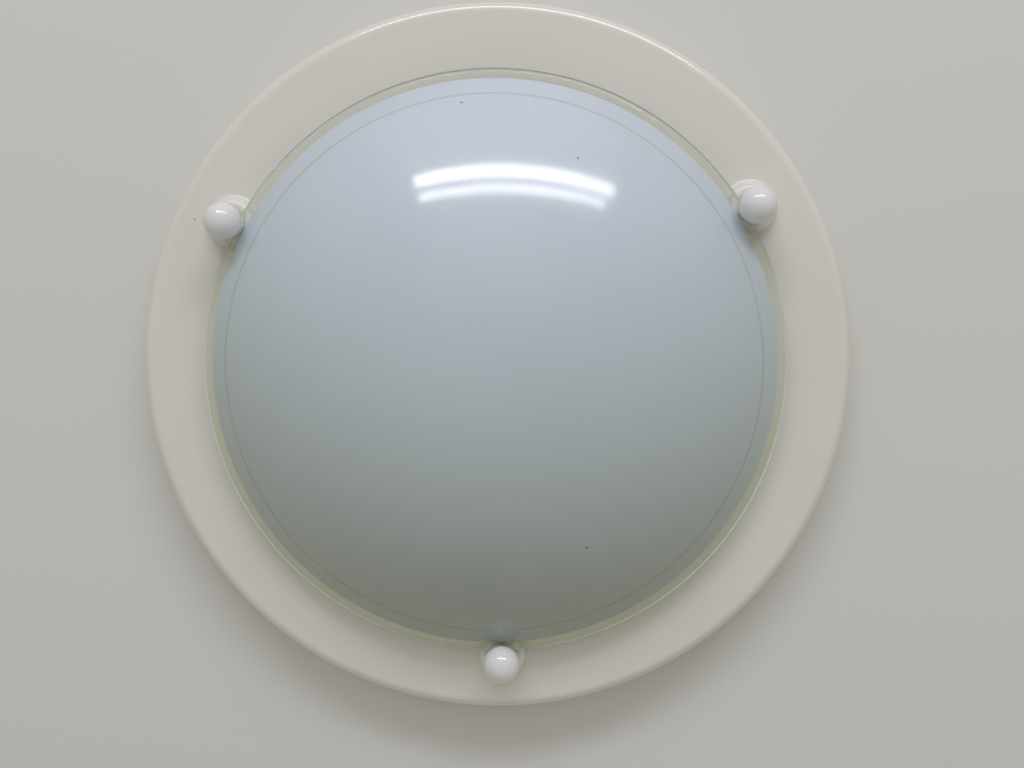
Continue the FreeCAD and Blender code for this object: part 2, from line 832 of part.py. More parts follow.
def make_lead(name, side, exit_across, exit_above, across, back_from_middle):
    """A lead from the back of a lampholder, over the recess floor and up the bushing."""
    lamp_x = size.lamp_spacing.value / 2
    exit_x = side * (lamp_x - exit_across.value)
    exit_z = exit_above.value - size.lamp_drop.value
    back = size.socket_back.value
    rest_z = floor_face.value - size.lead_rest.value
    loop_y = back + size.lead_loop.value
    end_x = side * across.value
    end_y = size.bushing_place.value + back_from_middle.value
    points = [
        FreeCAD.Vector(exit_x, back - size.lead_bite.value, exit_z),
        FreeCAD.Vector(exit_x, loop_y, exit_z),
        FreeCAD.Vector(exit_x, loop_y, rest_z),
        FreeCAD.Vector(end_x, end_y, rest_z),
        FreeCAD.Vector(end_x, end_y, 0),
    ]
    return tube(name, points, size.lead_radius.value, size.lead_bend.value)


# ---- assembly ---------------------------------------------------------------------------------

def make_pieces():
    pieces = [make_pan(), make_crossbar(), make_bushing(), make_pad(), make_glass()]
    pan_screw = make_screw(
        "pan_screw", (-size.pan_screw_spacing / 2, 0, floor_face), size.stud_radius,
        size.well_drop, size.screw_head_radius, size.screw_head)
    pieces.append(mirrored_pair("pan_screws", pan_screw))
    pieces.append(make_screw(
        "ground_screw", (0, 0, -size.bar_thick), size.stud_radius,
        size.bar_thick, size.screw_head_radius, size.screw_head))
    for number in STUD_ANGLES:
        pieces.append(make_stud(number))
        pieces.append(make_ring(f"rim_cushion_{number}", size.boss_height,
                                size.cushion_thick, cushion_radius, number))
        pieces.append(make_ring(f"knob_washer_{number}", washer_height,
                                size.washer_thick, size.washer_radius, number))
        pieces.append(make_knob(number))
        pieces.append(make_insert(number))
    for letter, side in SIDES.items():
        pieces.append(make_bracket(letter, side))
        pieces.append(make_socket_body(letter, side))
        pieces.append(make_socket_shell(letter, side))
        pieces.append(make_contact(letter, side))
        pieces.append(make_lamp_envelope(letter, side))
        pieces.append(make_lamp_base(letter, side))
        pieces.append(make_lamp_insulator(letter, side))
        pieces.append(make_lamp_tip(letter, side))
        pieces.append(make_lead(f"lead_{letter}_live", side, size.lead_near,
                                size.lead_offset, size.live_across, size.live_back))
        pieces.append(make_lead(f"lead_{letter}_neutral", side, size.lead_far,
                                -size.lead_offset, size.neutral_across, size.neutral_back))
    left_x = -size.lamp_spacing / 2
    bracket_screw = make_screw(
        "bracket_screw", (left_x, bracket_screw_y, floor_face - size.bracket_sheet),
        size.small_screw_radius, size.bracket_sheet + size.pan_sheet,
        size.small_head_radius, size.small_head)
    pieces.append(mirrored_pair("bracket_screws", bracket_screw))
    socket_screw = make_screw(
        "socket_screw", (left_x, size.socket_back + size.bracket_sheet, -size.lamp_drop),
        size.small_screw_radius, size.bracket_sheet + size.small_screw_bite,
        size.small_head_radius, size.small_head, ALONG_LAMP)
    pieces.append(mirrored_pair("socket_screws", socket_screw))
    return pieces


def check_document():
    """Every object has to be up to date, and every shape valid."""
    for item in doc.Objects:
        if "Invalid" in item.State or "Error" in item.State:
            raise ValueError(f"{item.Name} failed: {item.State}")


def export(pieces):
    os.makedirs("parts", exist_ok=True)
    for piece in pieces:
        shape = piece.Shape
        if shape.isNull() or not shape.isValid() or not shape.Solids:
            raise ValueError(f"{piece.Label} has no valid solid")
        shape.exportStep(f"parts/{piece.Label}.step")
        print(f"{piece.Label}: {len(shape.Solids)} solid, {shape.Volume / 1000:.2f} cm3")


all_pieces = make_pieces()
doc.recompute()
check_document()
export(all_pieces)
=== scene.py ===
# Flush mount ceiling light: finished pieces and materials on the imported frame.
# Sizes in the dictionaries are millimetres, the ceiling is z = 0 and the light hangs below it.
import json
import math

import bmesh
import bpy
from mathutils import Matrix, Vector


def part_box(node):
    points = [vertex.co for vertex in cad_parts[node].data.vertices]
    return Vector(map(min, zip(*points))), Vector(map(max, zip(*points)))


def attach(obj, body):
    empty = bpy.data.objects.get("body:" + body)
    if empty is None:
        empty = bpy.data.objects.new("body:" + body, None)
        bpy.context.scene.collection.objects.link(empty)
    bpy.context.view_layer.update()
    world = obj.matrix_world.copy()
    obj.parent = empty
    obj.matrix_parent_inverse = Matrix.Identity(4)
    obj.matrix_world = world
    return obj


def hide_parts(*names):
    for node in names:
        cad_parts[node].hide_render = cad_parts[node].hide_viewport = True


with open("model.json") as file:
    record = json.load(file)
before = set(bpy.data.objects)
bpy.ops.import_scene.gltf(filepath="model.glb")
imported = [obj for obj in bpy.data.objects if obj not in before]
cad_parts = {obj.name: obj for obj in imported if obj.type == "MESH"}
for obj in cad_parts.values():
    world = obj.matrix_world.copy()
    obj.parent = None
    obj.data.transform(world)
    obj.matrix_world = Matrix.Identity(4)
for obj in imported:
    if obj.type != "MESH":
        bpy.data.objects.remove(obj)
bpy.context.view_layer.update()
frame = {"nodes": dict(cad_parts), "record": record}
nodes = frame["nodes"]

mm = 0.001
onAxis = 1e-6            # a radius below this, in mm, lies on the axis
weldGap = 0.000004       # points closer than this, in metres, become one
threadGap = 0.00001      # the same for wound threads
studAngles = {1: -90, 2: 30, 3: 150}
lampAxis = (-42.0, 0, -50.0)     # lamp a's axis runs along Y through here, b's is its mirror
axes = {"Y": Vector((0, 1, 0)), "Z": Vector((0, 0, 1))}


# modelling helpers

def deselectAll():
    for thing in bpy.context.selected_objects:
        thing.select_set(False)


def makeActive(piece):
    deselectAll()
    bpy.context.view_layer.objects.active = piece
    piece.select_set(True)


def editMode(on):
    bpy.ops.object.mode_set(mode="EDIT" if on else "OBJECT")


def settlePlace():
    bpy.ops.object.transform_apply(location=True, rotation=True, scale=True)


def selectRims(piece, wanted):
    # picks open edges whose middle satisfies wanted(place in mm)
    mesh = bmesh.from_edit_mesh(piece.data)
    for part in list(mesh.faces) + list(mesh.verts):
        part.select = False
    for edge in mesh.edges:
        middle = (edge.verts[0].co + edge.verts[1].co) / 2 / mm
        edge.select_set(edge.is_boundary and wanted(middle))
    bmesh.update_edit_mesh(piece.data)


def roundCorners(corners, steps=6):
    # corners are (radius, height) or (radius, height, rounding); each rounding becomes an arc
    line = []
    for number, corner in enumerate(corners):
        if len(corner) == 2:
            line.append(corner)
            continue
        here = Vector(corner[:2])
        before = (Vector(corners[number - 1][:2]) - here).normalized()
        after = (Vector(corners[(number + 1) % len(corners)][:2]) - here).normalized()
        half = before.angle(after) / 2
        centre = here + (before + after).normalized() * (corner[2] / math.sin(half))
        reach = corner[2] / math.tan(half)
        start, end = here + before * reach - centre, here + after * reach - centre
        turn = start.angle_signed(end)
        for step in range(steps + 1):
            angle = -turn * step / steps
            spoke = Matrix.Rotation(angle, 2) @ start
            line.append(tuple(centre + spoke))
    return line


def arcLine(centre, radius, fromAngle, toAngle, steps):
    # points (radius, height) on a circle, angles in degrees from the outward direction
    line = []
    for step in range(steps + 1):
        angle = math.radians(fromAngle + (toAngle - fromAngle) * step / steps)
        line.append((centre[0] + radius * math.cos(angle), centre[1] + radius * math.sin(angle)))
    return line


def addRing(radius, height, sides, at, along, filled):
    lean = (math.pi / 2, 0, 0) if along == "Y" else (0, 0, 0)
    place = (Vector(at) + axes[along] * height) * mm
    bpy.ops.mesh.primitive_circle_add(
        vertices=sides, radius=radius * mm, location=place, rotation=lean,
        fill_type="TRIFAN" if filled else "NOTHING")
    settlePlace()


def growRing(fromPoint, toPoint, at, along):
    # the selected ring is extruded along the axis, then widened, narrowed or closed
    climb = axes[along] * ((toPoint[1] - fromPoint[1]) * mm)
    bpy.ops.mesh.extrude_region_move(TRANSFORM_OT_translate={"value": climb})
    if toPoint[0] < onAxis:
        bpy.ops.mesh.merge(type="CENTER")
        return
    ratio = toPoint[0] / fromPoint[0]
    if abs(ratio - 1) > 1e-9:
        stretch = (ratio, 1, ratio) if along == "Y" else (ratio, ratio, 1)
        bpy.ops.transform.resize(value=stretch, center_override=Vector(at) * mm)


def turnPiece(name, line, sides=96, at=(0, 0, 0), along="Z", angle=35, tidy=True):
    # a ring follows the profile line, as on a lathe
    deselectAll()
    filled = line[0][0] < onAxis
    if filled:
        tip = line[0][1] - line[1][1]
        addRing(line[1][0], line[1][1], sides, at, along, True)
        line = line[1:]
    else:
        addRing(line[0][0], line[0][1], sides, at, along, False)
    piece = bpy.context.active_object
    piece.name = piece.data.name = name
    editMode(True)
    bpy.ops.mesh.select_mode(type="VERT")
    bpy.ops.mesh.select_all(action="SELECT")
    if filled:
        bpy.ops.mesh.select_all(action="DESELECT")
        bpy.ops.mesh.select_non_manifold()
        bpy.ops.mesh.select_all(action="INVERT")     # only the pole is left
        bpy.ops.transform.translate(value=axes[along] * (tip * mm))
        bpy.ops.mesh.select_all(action="INVERT")
    for here, there in zip(line, line[1:]):
        growRing(here, there, at, along)
    if tidy:
        closeMesh()
    editMode(False)
    bpy.ops.object.shade_smooth_by_angle(angle=math.radians(angle))
    return piece


def closeMesh():
    bpy.ops.mesh.select_all(action="SELECT")
    bpy.ops.mesh.remove_doubles(threshold=weldGap)
    bpy.ops.mesh.normals_make_consistent(inside=False)


def flipFaces():
    editMode(True)
    bpy.ops.mesh.select_all(action="SELECT")
    bpy.ops.mesh.flip_normals()
    editMode(False)


def joinPieces(name, pieces, angle=35):
    makeActive(pieces[0])
    for piece in pieces:
        piece.select_set(True)
    bpy.ops.object.join()
    joined = bpy.context.active_object
    joined.name = joined.data.name = name
    bpy.ops.object.shade_smooth_by_angle(angle=math.radians(angle))
    return joined


def copyPiece(piece, name, shift=(0, 0, 0), turn=0.0):
    # a copy with its own mesh, moved in mm and turned about the light's axis in degrees
    makeActive(piece)
    bpy.ops.object.duplicate()
    twin = bpy.context.active_object
    twin.name = twin.data.name = name
    twin.matrix_world = Matrix.Translation(Vector(shift) * mm) @ Matrix.Rotation(
        math.radians(turn), 4, "Z")
    settlePlace()
    return twin


def aroundStuds(first):
    # the piece made on stud 1 and its copies on the other two, by number
    pieces = {1: first}
    for number in (2, 3):
        turn = studAngles[number] - studAngles[1]
        pieces[number] = copyPiece(first, first.name[:-1] + str(number), turn=turn)
    return pieces


def onBothSides(first):
    # the piece made on side a and its copy on side b, by letter
    return {"a": first,
            "b": copyPiece(first, first.name[:-1] + "b", shift=(-2 * lampAxis[0], 0, 0))}


def applyModifier(piece, kind, **settings):
    makeActive(piece)
    modifier = piece.modifiers.new(kind.lower(), kind)
    for key, value in settings.items():
        setattr(modifier, key, value)
    bpy.ops.object.modifier_apply(modifier=modifier.name)


def threadPiece(name, thread, at, along="Z", closed=True):
    # one pitch of the thread's outline is drawn, then wound up by a Screw modifier
    deselectAll()
    bpy.ops.mesh.primitive_plane_add(size=mm)
    piece = bpy.context.active_object
    piece.name = piece.data.name = name
    outline = [(thread["root"], 0), (thread["root"], thread["flat"]),
               (thread["crest"], thread["flat"] + thread["slope"]),
               (thread["crest"], thread["pitch"] - thread["slope"]),
               (thread["root"], thread["pitch"])]
    spots = [Vector((r, h, 0) if along == "Y" else (r, 0, h)) * mm for r, h in outline]
    editMode(True)
    bpy.ops.mesh.select_mode(type="VERT")
    bpy.ops.mesh.select_all(action="SELECT")
    bpy.ops.mesh.merge(type="CENTER")
    bpy.ops.transform.translate(value=spots[0])
    for here, there in zip(spots, spots[1:]):
        bpy.ops.mesh.extrude_vertices_move(TRANSFORM_OT_translate={"value": there - here})
    editMode(False)
    applyModifier(piece, "SCREW", axis=along, steps=thread["steps"], render_steps=thread["steps"],
                  screw_offset=thread["pitch"] * mm, iterations=thread["turns"],
                  use_merge_vertices=True, use_smooth_shade=True, merge_threshold=2 * threadGap)
    piece.location = Vector(at) * mm
    settlePlace()
    editMode(True)
    bpy.ops.mesh.select_all(action="SELECT")
    bpy.ops.mesh.remove_doubles(threshold=threadGap)
    if closed:
        bpy.ops.mesh.select_all(action="DESELECT")
        bpy.ops.mesh.select_non_manifold()
        bpy.ops.mesh.fill()
    closeMesh()
    editMode(False)
    return piece


def studSpot(number):
    angle = math.radians(studAngles[number])
    return (studs["circle"] * math.cos(angle), studs["circle"] * math.sin(angle), 0)


# shader node groups

def newGroup(name, inputs, outputs):
    group = bpy.data.node_groups.new(name, "ShaderNodeTree")
    for label, kind, value in inputs:
        socket = group.interface.new_socket(name=label, in_out="INPUT", socket_type=kind)
        socket.default_value = value
    for label, kind in outputs:
        group.interface.new_socket(name=label, in_out="OUTPUT", socket_type=kind)
    tree = group.nodes
    start, end = tree.new("NodeGroupInput"), tree.new("NodeGroupOutput")
    return group, start, end


def addNode(tree, kind, **settings):
    node = tree.nodes.new(kind)
    for key, value in settings.items():
        setattr(node, key, value)
    return node


def sizedPattern(group, start, kind):
    # Object coordinates, stretched, then divided by the pattern's size in metres
    coordinates = addNode(group, "ShaderNodeTexCoord")
    scale = addNode(group, "ShaderNodeMath", operation="DIVIDE")
    scale.inputs[0].default_value = 1.0
    pull = addNode(group, "ShaderNodeVectorMath", operation="MULTIPLY")
    pattern = addNode(group, kind)
    group.links.new(start.outputs["Size"], scale.inputs[1])
    group.links.new(scale.outputs[0], pattern.inputs["Scale"])
    group.links.new(coordinates.outputs["Object"], pull.inputs[0])
    group.links.new(start.outputs["Stretch"], pull.inputs[1])
    group.links.new(pull.outputs[0], pattern.inputs["Vector"])
    return pattern


def noiseSpread(group, start, detail, low, high):
    # noise on the piece, with the part between low and high spread out to 0..1
    noise = sizedPattern(group, start, "ShaderNodeTexNoise")
    noise.inputs["Detail"].default_value = detail
    spread = addNode(group, "ShaderNodeMapRange")
    spread.inputs["From Min"].default_value = low
    spread.inputs["From Max"].default_value = high
    group.links.new(noise.outputs["Fac"], spread.inputs["Value"])
    return spread


def makeDriftGroup():
    # a colour that wanders slowly to a second one
    group, start, end = newGroup(
        "colourDrift",
        [("Colour", "NodeSocketColor", (0.8, 0.8, 0.8, 1)),
         ("Second", "NodeSocketColor", (0.7, 0.7, 0.7, 1)),
         ("Size", "NodeSocketFloat", 0.05), ("Stretch", "NodeSocketVector", (1, 1, 1))],
        [("Colour", "NodeSocketColor")])
    spread = noiseSpread(group, start, 4.0, 0.35, 0.65)
    mix = addNode(group, "ShaderNodeMix", data_type="RGBA")
    group.links.new(spread.outputs["Result"], mix.inputs["Factor"])
    group.links.new(start.outputs["Colour"], mix.inputs["A"])
    group.links.new(start.outputs["Second"], mix.inputs["B"])
    group.links.new(mix.outputs["Result"], end.inputs["Colour"])
    return group


def makeSpecksGroup():
    # small dark specks, dust and pits: the middles of a few cells
    group, start, end = newGroup(
        "specks",
        [("Size", "NodeSocketFloat", 0.01), ("Amount", "NodeSocketFloat", 0.05),
         ("Stretch", "NodeSocketVector", (1, 1, 1))],
        [("Mask", "NodeSocketFloat")])
    cells = sizedPattern(group, start, "ShaderNodeTexVoronoi")
    near = addNode(group, "ShaderNodeMath", operation="LESS_THAN")
    near.inputs[1].default_value = 0.07
    picked = addNode(group, "ShaderNodeSeparateColor")
    rare = addNode(group, "ShaderNodeMath", operation="LESS_THAN")
    both = addNode(group, "ShaderNodeMath", operation="MULTIPLY")
    group.links.new(cells.outputs["Distance"], near.inputs[0])
    group.links.new(cells.outputs["Color"], picked.inputs["Color"])
    group.links.new(picked.outputs["Red"], rare.inputs[0])
    group.links.new(start.outputs["Amount"], rare.inputs[1])
    group.links.new(near.outputs[0], both.inputs[0])
    group.links.new(rare.outputs[0], both.inputs[1])
    group.links.new(both.outputs[0], end.inputs["Mask"])
    return group


def makeRangeGroup():
    # a value that wanders between a low and a high one, for roughness
    group, start, end = newGroup(
        "roughnessDrift",
        [("Low", "NodeSocketFloat", 0.3), ("High", "NodeSocketFloat", 0.4),
         ("Size", "NodeSocketFloat", 0.02), ("Stretch", "NodeSocketVector", (1, 1, 1))],
        [("Value", "NodeSocketFloat")])
    spread = noiseSpread(group, start, 3.0, 0.3, 0.7)
    group.links.new(start.outputs["Low"], spread.inputs["To Min"])
    group.links.new(start.outputs["High"], spread.inputs["To Max"])
    group.links.new(spread.outputs["Result"], end.inputs["Value"])
    return group


def makeGrainGroup():
    # height for a Bump node: paint texture, brushing or casting grain
    group, start, end = newGroup(
        "surfaceGrain",
        [("Size", "NodeSocketFloat", 0.002), ("Stretch", "NodeSocketVector", (1, 1, 1))],
        [("Height", "NodeSocketFloat")])
    noise = sizedPattern(group, start, "ShaderNodeTexNoise")
    noise.inputs["Detail"].default_value = 3.0
    group.links.new(noise.outputs["Fac"], end.inputs["Height"])
    return group


driftGroup = makeDriftGroup()
specksGroup = makeSpecksGroup()
rangeGroup = makeRangeGroup()
grainGroup = makeGrainGroup()


def useGroup(tree, group, **values):
    node = tree.nodes.new("ShaderNodeGroup")
    node.node_tree = group
    for key, value in values.items():
        node.inputs[key].default_value = value
    return node


def newMaterial(name):
    material = bpy.data.materials.new(name)
    material.use_nodes = True
    return material, material.node_tree, material.node_tree.nodes["Principled BSDF"]


def addGrain(tree, shader, size, strength, depth, stretch=(1, 1, 1)):
    grain = useGroup(tree, grainGroup, Size=size, Stretch=stretch)
    bump = addNode(tree, "ShaderNodeBump")
    bump.inputs["Strength"].default_value = strength
    bump.inputs["Distance"].default_value = depth
    tree.links.new(grain.outputs["Height"], bump.inputs["Height"])
    tree.links.new(bump.outputs["Normal"], shader.inputs["Normal"])


def makeFinish(name, look):
    # colour drift and specks, roughness drift, and grain through a Bump node
    material, tree, shader = newMaterial(name)
    stretch = look.get("stretch", (1, 1, 1))
    drift = useGroup(tree, driftGroup, Colour=(*look["colour"], 1), Second=(*look["second"], 1),
                     Size=look.get("patch", 0.03), Stretch=stretch)
    specks = useGroup(tree, specksGroup, Size=look.get("speckSize", 0.004),
                      Amount=look.get("specks", 0.03))
    mix = addNode(tree, "ShaderNodeMix", data_type="RGBA")
    mix.inputs["B"].default_value = (*look.get("speckColour", (0.12, 0.10, 0.08)), 1)
    tree.links.new(drift.outputs["Colour"], mix.inputs["A"])
    tree.links.new(specks.outputs["Mask"], mix.inputs["Factor"])
    tree.links.new(mix.outputs["Result"], shader.inputs["Base Color"])
    rough = useGroup(tree, rangeGroup, Low=look["rough"][0], High=look["rough"][1],
                     Size=look.get("patch", 0.03) / 2, Stretch=stretch)
    tree.links.new(rough.outputs["Value"], shader.inputs["Roughness"])
    addGrain(tree, shader, look["grain"], look.get("bumpStrength", 0.3), look["depth"], stretch)
    shader.inputs["Metallic"].default_value = look.get("metallic", 0.0)
    shader.inputs["Coat Weight"].default_value = look.get("coat", 0.0)
    shader.inputs["Coat Roughness"].default_value = 0.1
    shader.inputs["IOR"].default_value = 1.5
    return material


# finishes, in metres where they give a size; colours are linear
finishes = {
    "pan_enamel": {"colour": (0.77, 0.76, 0.74), "second": (0.75, 0.735, 0.71), "patch": 0.09,
                   "rough": (0.20, 0.28), "grain": 0.0022, "depth": 0.00001, "coat": 0.6,
                   "specks": 0.05, "speckSize": 0.012, "speckColour": (0.35, 0.30, 0.25)},
    "knob_enamel": {"colour": (0.80, 0.80, 0.84), "second": (0.77, 0.77, 0.82), "patch": 0.01,
                    "rough": (0.10, 0.16), "grain": 0.003, "depth": 0.00001, "coat": 0.3},
    "zinc_steel": {"colour": (0.62, 0.63, 0.64), "second": (0.48, 0.50, 0.52), "patch": 0.008,
                   "rough": (0.28, 0.42), "grain": 0.0006, "depth": 0.00002, "metallic": 1.0,
                   "stretch": (0.15, 1, 1), "specks": 0.06},
    "brass": {"colour": (0.72, 0.52, 0.22), "second": (0.58, 0.40, 0.16), "patch": 0.006,
              "rough": (0.22, 0.36), "grain": 0.0006, "depth": 0.00002, "metallic": 1.0},
    "green_screw": {"colour": (0.03, 0.24, 0.07), "second": (0.02, 0.18, 0.05), "patch": 0.003,
                    "rough": (0.25, 0.4), "grain": 0.0005, "depth": 0.00002},
    "clear_rubber": {"colour": (0.70, 0.69, 0.64), "second": (0.62, 0.60, 0.53), "patch": 0.005,
                     "rough": (0.45, 0.6), "grain": 0.0006, "depth": 0.00002},
    "white_nylon": {"colour": (0.80, 0.79, 0.75), "second": (0.76, 0.74, 0.69), "patch": 0.004,
                    "rough": (0.35, 0.5), "grain": 0.0005, "depth": 0.00001},
    "black_plastic": {"colour": (0.025, 0.025, 0.027), "second": (0.04, 0.04, 0.04),
                      "patch": 0.005, "rough": (0.35, 0.5), "grain": 0.0005, "depth": 0.00002,
                      "speckColour": (0.3, 0.28, 0.25)},
    "porcelain": {"colour": (0.80, 0.78, 0.72), "second": (0.76, 0.73, 0.66), "patch": 0.02,
                  "rough": (0.08, 0.2), "grain": 0.004, "depth": 0.00005, "coat": 0.5,
                  "specks": 0.12, "speckSize": 0.005},
    "lamp_cap": {"colour": (0.72, 0.71, 0.69), "second": (0.60, 0.59, 0.57), "patch": 0.005,
                 "rough": (0.25, 0.4), "grain": 0.0005, "depth": 0.00002, "metallic": 1.0},
    "black_glass": {"colour": (0.012, 0.012, 0.014), "second": (0.02, 0.02, 0.022),
                    "patch": 0.004, "rough": (0.05, 0.15), "grain": 0.002, "depth": 0.00003},
    "black_lead": {"colour": (0.02, 0.02, 0.022), "second": (0.035, 0.034, 0.033),
                   "patch": 0.01, "rough": (0.4, 0.55), "grain": 0.0008, "depth": 0.00002,
                   "speckColour": (0.25, 0.24, 0.22)},
    "white_lead": {"colour": (0.74, 0.73, 0.69), "second": (0.68, 0.66, 0.60), "patch": 0.01,
                   "rough": (0.4, 0.55), "grain": 0.0008, "depth": 0.00002},
    "shade_frosting": {"colour": (0.512, 0.56, 0.672), "second": (0.495, 0.543, 0.655),
                       "patch": 0.12, "rough": (0.55, 0.7), "grain": 0.0004, "depth": 0.00002,
                       "specks": 0.02, "speckSize": 0.012, "speckColour": (0.2, 0.2, 0.2)},
    # the pinstripe ring: painted shade, darker and greyer than the frosting, for the unlit inside
    # seen through clear glass
    "thin_frosting": {"colour": (0.43, 0.47, 0.50), "second": (0.42, 0.455, 0.48),
                      "patch": 0.05, "rough": (0.5, 0.6), "grain": 0.0004, "depth": 0.00002},
    "ground_glass_edge": {"colour": (0.84, 0.90, 0.84), "second": (0.78, 0.86, 0.79),
                          "patch": 0.004, "rough": (0.5, 0.65), "grain": 0.0004,
                          "depth": 0.00003},
    "bulb_glass": {"colour": (0.80, 0.80, 0.78), "second": (0.77, 0.77, 0.75), "patch": 0.02,
                   "rough": (0.12, 0.2), "grain": 0.003, "depth": 0.00001, "coat": 0.6},
    "glass_fibre": {"colour": (0.74, 0.68, 0.46), "second": (0.62, 0.54, 0.32),
                    "patch": 0.0025, "rough": (0.8, 0.95), "grain": 0.0009, "depth": 0.0005,
                    "bumpStrength": 0.9, "stretch": (1, 0.45, 1), "specks": 0.1,
                    "speckSize": 0.003},
}
materials = {name: makeFinish(name, look) for name, look in finishes.items()}


# the shade's clear glass, sizes in metres

clearGlass = {
    "colour": (0.97, 0.995, 0.98), "rough": (0.09, 0.13), "patch": 0.05, "ior": 1.5,
    "wave": 0.06, "waveStrength": 0.25, "waveDepth": 0.0002, "coat": 0.35, "coatRough": 0.11,
    "passed": (1.0, 1.0, 1.0), "passedGrazing": (0.62, 0.80, 0.58),
}


def letThrough(tree, shader, tint, grazeTint):
    # lamps shine through the glass without caustics, greener where they graze it
    clear = addNode(tree, "ShaderNodeBsdfTransparent")
    graze = addNode(tree, "ShaderNodeLayerWeight")
    graze.inputs["Blend"].default_value = 0.5
    tinted = addNode(tree, "ShaderNodeMix", data_type="RGBA")
    tinted.inputs["A"].default_value = (*tint, 1)
    tinted.inputs["B"].default_value = (*grazeTint, 1)
    tree.links.new(graze.outputs["Facing"], tinted.inputs["Factor"])
    tree.links.new(tinted.outputs["Result"], clear.inputs["Color"])
    path = addNode(tree, "ShaderNodeLightPath")
    mix = addNode(tree, "ShaderNodeMixShader")
    output = tree.nodes["Material Output"]
    tree.links.new(path.outputs["Is Shadow Ray"], mix.inputs["Fac"])
    tree.links.new(shader.outputs["BSDF"], mix.inputs[1])
    tree.links.new(clear.outputs["BSDF"], mix.inputs[2])
    tree.links.new(mix.outputs["Shader"], output.inputs["Surface"])


def makeClearGlass():
    material, tree, shader = newMaterial("shade_clear_glass")
    shader.inputs["Base Color"].default_value = (*clearGlass["colour"], 1)
    shader.inputs["Transmission Weight"].default_value = 1.0
    shader.inputs["IOR"].default_value = clearGlass["ior"]
    shader.inputs["Coat Weight"].default_value = clearGlass["coat"]
    shader.inputs["Coat Roughness"].default_value = clearGlass["coatRough"]
    low, high = clearGlass["rough"]
    rough = useGroup(tree, rangeGroup, Low=low, High=high, Size=clearGlass["patch"])
    tree.links.new(rough.outputs["Value"], shader.inputs["Roughness"])
    addGrain(tree, shader, clearGlass["wave"], clearGlass["waveStrength"],
             clearGlass["waveDepth"])
    letThrough(tree, shader, clearGlass["passed"], clearGlass["passedGrazing"])
    return material


materials["shade_glass"] = makeClearGlass()
print("finishes made")


def paint(piece, slot, finish=None):
    piece.data.materials.clear()
    piece.data.materials.append(materials[finish or slot])


def place(piece, body, slot, *replaced, finish=None):
    paint(piece, slot, finish)
    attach(piece, body)
    if replaced:
        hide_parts(*replaced)


# camera, at the photograph's place under the light

camera = {
    "place": (-0.0254, 0.0396, -0.5974),
    "aim": (-0.0097, -0.0112, -0.0280),
    "roll": 1.561,     # degrees, the top leans to the right
    "lens": 35.16,     # mm on a 36 mm sensor
}


def makeCamera():
    eye, aim = Vector(camera["place"]), Vector(camera["aim"])
    forward = (aim - eye).normalized()
    right = forward.cross(axes["Y"]).normalized()
    above = right.cross(forward)
    roll = math.radians(camera["roll"])
    up = above * math.cos(roll) + right * math.sin(roll)
    turned = Matrix((forward.cross(up), up, -forward)).transposed().to_4x4()
    bpy.ops.object.camera_add()
    view = bpy.context.active_object
    view.matrix_world = Matrix.Translation(eye) @ turned
    view.data.lens = camera["lens"]
    view.data.sensor_width = 36
    view.data.clip_start = 0.01
    bpy.context.scene.camera = view


makeCamera()


# lights: two long lamps and a soft one across the room, and pale surroundings

lightTubes = {
    "farTube": {"place": (-0.29, 2.61, -1.64), "size": (3.1, 0.25), "power": 26.8},
    "nearTube": {"place": (-0.22, 2.10, -1.64), "size": (2.5, 0.15), "power": 10.5},
    "softBox": {"place": (0.05, 1.25, -1.95), "size": (1.7, 1.5), "power": 6.0,
                "mirrored": False},
}
lampTint = (1.0, 0.985, 1.04)
room = {"light": 0.376, "tint": (1.0, 0.97, 0.86), "mirrored": 0.50,
        "mirroredTint": (1.0, 0.93, 0.62), "shown": 0.82, "shownTint": (1.0, 0.99, 0.97)}


def makeLights():
    for name, tube in lightTubes.items():
        bpy.ops.object.light_add(type="AREA", location=tube["place"])
        lamp = bpy.context.active_object
        lamp.name = name
        lamp.data.shape = "RECTANGLE"
        lamp.data.size, lamp.data.size_y = tube["size"]
        lamp.data.energy = tube["power"]
        lamp.data.color = lampTint
        lamp.visible_glossy = tube.get("mirrored", True)
        toLight = Vector(tube["place"]).normalized()
        across = Vector((1, 0, 0))
        across = (across - toLight * across.dot(toLight)).normalized()
        turned = Matrix((across, toLight.cross(across), toLight)).transposed().to_4x4()
        lamp.matrix_world = Matrix.Translation(tube["place"]) @ turned


def makeWorld():
    world = bpy.data.worlds.new("room")
    bpy.context.scene.world = world
    world.use_nodes = True
    tree = world.node_tree
    soft = tree.nodes["Background"]
    soft.inputs["Color"].default_value = (*room["tint"], 1)
    soft.inputs["Strength"].default_value = room["light"]
    path = addNode(tree, "ShaderNodeLightPath")
    ends = soft.outputs["Background"]
    for ray, strength, tint in (
            ("Is Glossy Ray", room["mirrored"], room["mirroredTint"]),
            ("Is Transmission Ray", room["mirrored"], room["mirroredTint"]),
            ("Is Camera Ray", room["shown"], room["shownTint"])):
        seen = addNode(tree, "ShaderNodeBackground")
        seen.inputs["Color"].default_value = (*tint, 1)
        seen.inputs["Strength"].default_value = strength
        mix = addNode(tree, "ShaderNodeMixShader")
        tree.links.new(path.outputs[ray], mix.inputs["Fac"])
        tree.links.new(ends, mix.inputs[1])
        tree.links.new(seen.outputs["Background"], mix.inputs[2])
        ends = mix.outputs["Shader"]
    tree.links.new(ends, tree.nodes["World Output"].inputs["Surface"])


backdrop = {"across": 5.0, "height": 0.001, "colour": (0.72, 0.72, 0.71)}


